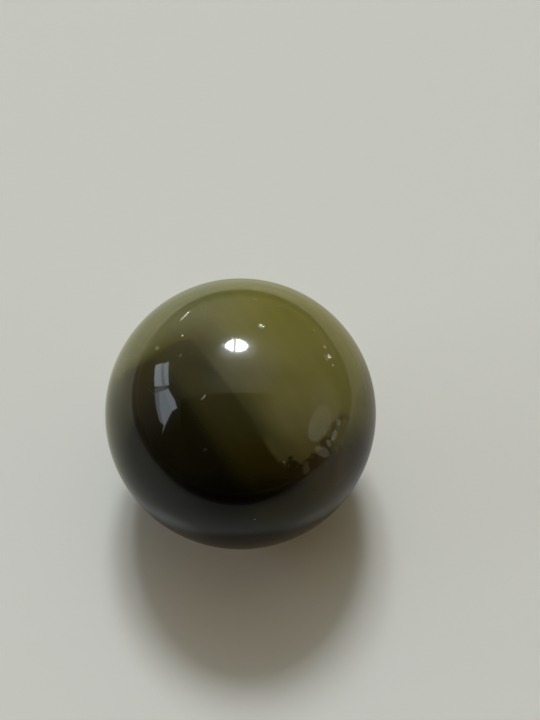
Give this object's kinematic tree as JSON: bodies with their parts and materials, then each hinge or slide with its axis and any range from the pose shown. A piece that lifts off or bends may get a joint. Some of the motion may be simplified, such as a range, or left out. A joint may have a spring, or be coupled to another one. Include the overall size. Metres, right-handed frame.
{
  "type": "glass marble",
  "caption": "Solid glass ball with a polished two-tone skin and a few small wear nicks; it rolls, drops and is flicked in games, or serves as a small weight or filler.",
  "frame": {"origin": "centre of the ball", "axes": "+Z through the crown, the side that faces up with the nicks on it; +X towards the row of nicks; +Y completes the right-handed frame. The ball is round, so the axes only place the marks and the colours on its skin"},
  "size_m": [0.016, 0.016, 0.016],
  "materials": {
    "two_tone_glass": "polished"
  },
  "bodies": {
    "root": {"marble": "two_tone_glass"}
  },
  "joints": []
}
